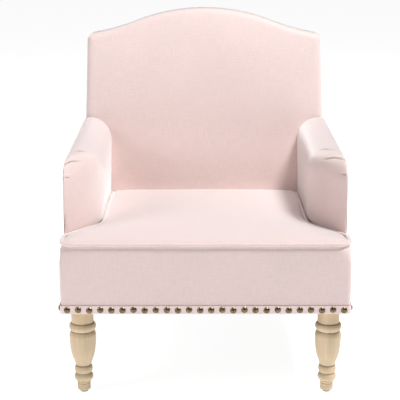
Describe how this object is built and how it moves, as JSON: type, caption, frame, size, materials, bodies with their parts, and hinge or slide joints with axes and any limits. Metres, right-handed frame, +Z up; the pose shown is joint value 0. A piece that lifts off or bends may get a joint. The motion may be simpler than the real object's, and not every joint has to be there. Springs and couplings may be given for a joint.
{
  "type": "upholstered armchair",
  "caption": "Low armchair with a camelback, pleated sloping arms, a tight T-shaped seat with welt, a nailed band and turned front legs.",
  "frame": {"origin": "on the floor, at the middle of the chair's width and depth", "axes": "+Z up, the sitter faces -Y, +X is the chair's side on the right of someone looking at its front"},
  "size_m": [0.7226, 0.7772, 0.931],
  "materials": {
    "upholstery": "pale pink slubbed linen weave, matt",
    "welt_fabric": "the same pink weave, cut on the bias round a cord",
    "trim_fabric": "the same pink weave, folded to a narrow band",
    "nail_brass": "antique bronze, dark and half polished",
    "leg_wood": "turned hardwood with a pale washed finish",
    "frame_wood": "sawn pine and plywood, unfinished",
    "arm_cardboard": "plain grey-brown board",
    "spring_steel": "drawn wire",
    "zinc_steel": "zinc plated",
    "foam": "open-cell foam, cream",
    "wadding": "white fibre",
    "deck_cloth": "unbleached nonwoven",
    "webbing": "elastic webbing",
    "cambric": "black nonwoven",
    "glide_plastic": "dark nylon"
  },
  "bodies": {
    "root": {"back_cover": "upholstery", "back_foam": "foam", "back_webbing": "webbing", "block_screws": "zinc_steel", "corner_blocks": "frame_wood", "crest_rail": "frame_wood", "deck_cloth": "deck_cloth", "dust_cover": "cambric", "dust_cover_staples": "zinc_steel", "frame_dowels": "frame_wood", "front_border": "upholstery", "front_nails": "nail_brass", "front_rail": "frame_wood", "left_arm_board": "arm_cardboard", "left_arm_cover": "upholstery", "left_arm_foam": "foam", "left_arm_liner": "frame_wood", "left_arm_rail": "frame_wood", "left_arm_stump": "frame_wood", "left_back_post": "frame_wood", "left_front_leg": "leg_wood", "left_nails": "nail_brass", "left_rear_leg": "leg_wood", "left_side_panel": "upholstery", "left_side_rail": "frame_wood", "leg_bolts": "zinc_steel", "leg_glides": "glide_plastic", "leg_tee_nuts": "zinc_steel", "lower_back_rail": "frame_wood", "outside_back": "upholstery", "rear_rail": "frame_wood", "right_arm_board": "arm_cardboard", "right_arm_cover": "upholstery", "right_arm_foam": "foam", "right_arm_liner": "frame_wood", "right_arm_rail": "frame_wood", "right_arm_stump": "frame_wood", "right_back_post": "frame_wood", "right_front_leg": "leg_wood", "right_nails": "nail_brass", "right_rear_leg": "leg_wood", "right_side_panel": "upholstery", "right_side_rail": "frame_wood", "seat_cover": "upholstery", "seat_foam": "foam", "seat_springs": "spring_steel", "seat_wadding": "wadding", "seat_welt": "welt_fabric", "spring_clips": "spring_steel", "spring_tie_wires": "spring_steel", "trim_band": "trim_fabric"}
  },
  "joints": []
}
